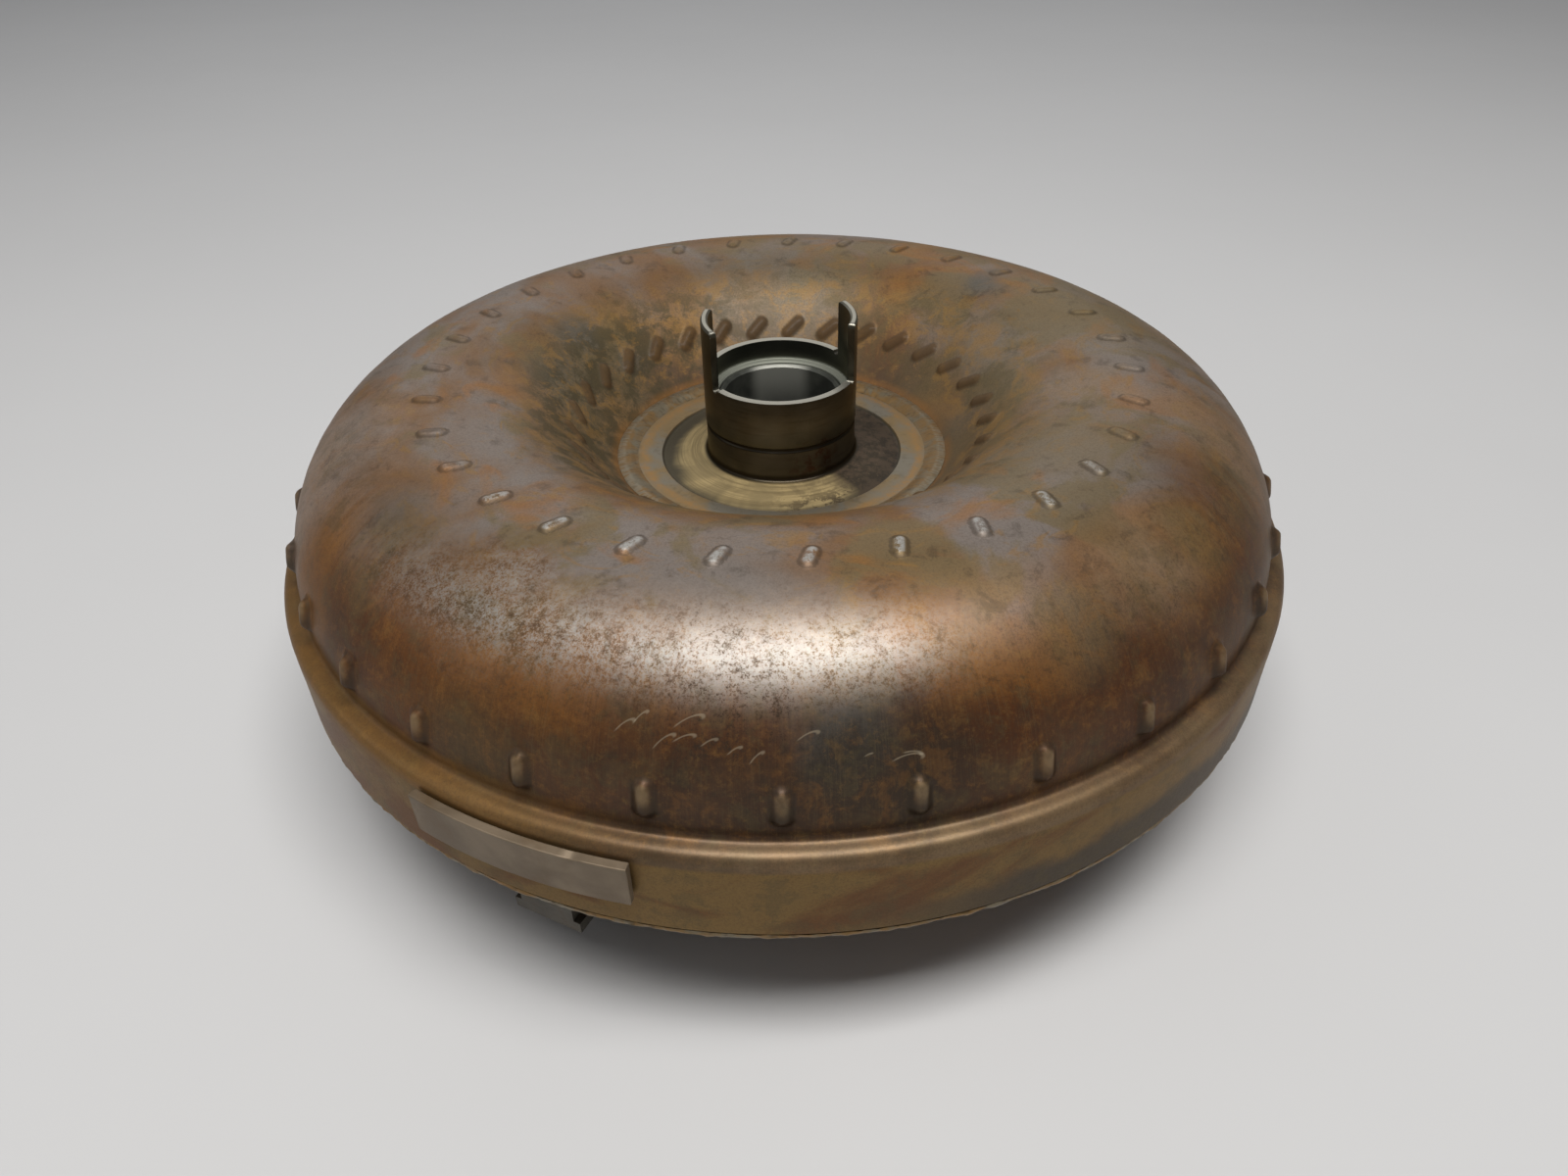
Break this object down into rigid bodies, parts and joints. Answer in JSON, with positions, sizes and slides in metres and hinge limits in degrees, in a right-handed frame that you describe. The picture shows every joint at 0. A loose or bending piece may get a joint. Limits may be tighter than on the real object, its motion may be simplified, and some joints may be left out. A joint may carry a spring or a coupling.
{
  "type": "torque converter",
  "caption": "Welded hydrodynamic torque converter: domed ring-shaped steel shell, tall hollow hub with drive tangs, and bladed wheels sealed inside.",
  "frame": {"origin": "centre of the pilot boss's nose face, on the common axis, which is the lowest plane of the part", "axes": "+Z along the common axis from the engine side to the pump hub; -Y towards the side that faced the camera, with the balance weight at its left"},
  "size_m": [0.29, 0.29, 0.1198],
  "materials": {
    "shell_steel": "heat-tinted, rust-stained pressed steel",
    "machined_steel": "turned, dull",
    "weld_bead": "rough weld bead",
    "cover_steel": "dull pressed steel",
    "weight_steel": "dull sheet steel",
    "bushing_bronze": "bored bronze",
    "zinc_plated": "yellowed zinc plating",
    "copper": "soft copper",
    "blade_steel": "pressed sheet, oiled",
    "cast_aluminium": "as cast",
    "bearing_steel": "ground and hardened",
    "spring_steel": "blued spring steel",
    "phenolic": "moulded resin"
  },
  "bodies": {
    "housing": {"impeller_shell": "shell_steel", "pump_hub": "machined_steel", "hub_weld_ring": "weld_bead", "hub_bushing": "bushing_bronze", "front_cover": "cover_steel", "rim_weld_ring": "weld_bead", "pilot_boss": "machined_steel", "mounting_lug_1": "cover_steel", "mounting_lug_2": "cover_steel", "mounting_lug_3": "cover_steel", "balance_weight": "weight_steel", "drain_plug_1": "zinc_plated", "drain_plug_2": "zinc_plated", "drain_plug_washer_1": "copper", "drain_plug_washer_2": "copper", "impeller_blade_ring": "blade_steel", "cover_thrust_washer": "phenolic", "thrust_race_pump": "bearing_steel"},
    "turbine": {"turbine_shell": "blade_steel", "turbine_blade_ring": "blade_steel", "turbine_hub": "machined_steel", "turbine_rivet_1": "machined_steel", "turbine_rivet_2": "machined_steel", "turbine_rivet_3": "machined_steel", "turbine_rivet_4": "machined_steel", "turbine_rivet_5": "machined_steel", "turbine_rivet_6": "machined_steel", "thrust_race_turbine": "bearing_steel"},
    "stator": {"stator_wheel": "cast_aluminium", "clutch_outer_race": "bearing_steel", "clutch_side_plate_lower": "machined_steel", "clutch_side_plate_upper": "machined_steel", "snap_ring": "spring_steel", "clutch_roller_1": "bearing_steel", "clutch_roller_2": "bearing_steel", "clutch_roller_3": "bearing_steel", "clutch_roller_4": "bearing_steel", "clutch_roller_5": "bearing_steel", "clutch_roller_6": "bearing_steel", "clutch_roller_7": "bearing_steel", "clutch_roller_8": "bearing_steel", "clutch_spring_1": "spring_steel", "clutch_spring_2": "spring_steel", "clutch_spring_3": "spring_steel", "clutch_spring_4": "spring_steel", "clutch_spring_5": "spring_steel", "clutch_spring_6": "spring_steel", "clutch_spring_7": "spring_steel", "clutch_spring_8": "spring_steel", "thrust_race_stator_lower": "bearing_steel", "thrust_race_stator_upper": "bearing_steel"},
    "inner_race": {"stator_inner_race": "bearing_steel"},
    "lower_needle_cage": {"needle_cage_lower": "bearing_steel"},
    "upper_needle_cage": {"needle_cage_upper": "bearing_steel"}
  },
  "joints": [
    {"name": "turbine_spin", "type": "hinge", "parent": "housing", "child": "turbine", "pos_m": [0, 0, 0.046], "axis": [0, 0, 1], "continuous": true},
    {"name": "stator_spin", "type": "hinge", "parent": "housing", "child": "stator", "pos_m": [0, 0, 0.059], "axis": [0, 0, 1], "continuous": true},
    {"name": "inner_race_spin", "type": "hinge", "parent": "housing", "child": "inner_race", "pos_m": [0, 0, 0.059], "axis": [0, 0, 1], "continuous": true},
    {"name": "lower_cage_spin", "type": "hinge", "parent": "housing", "child": "lower_needle_cage", "pos_m": [0, 0, 0.049], "axis": [0, 0, 1], "continuous": true},
    {"name": "upper_cage_spin", "type": "hinge", "parent": "housing", "child": "upper_needle_cage", "pos_m": [0, 0, 0.069], "axis": [0, 0, 1], "continuous": true}
  ],
  "couplings": [
    {"joint": "lower_cage_spin", "follows": "turbine_spin", "ratio": 0.5},
    {"joint": "upper_cage_spin", "follows": "stator_spin", "ratio": 0.5}
  ]
}
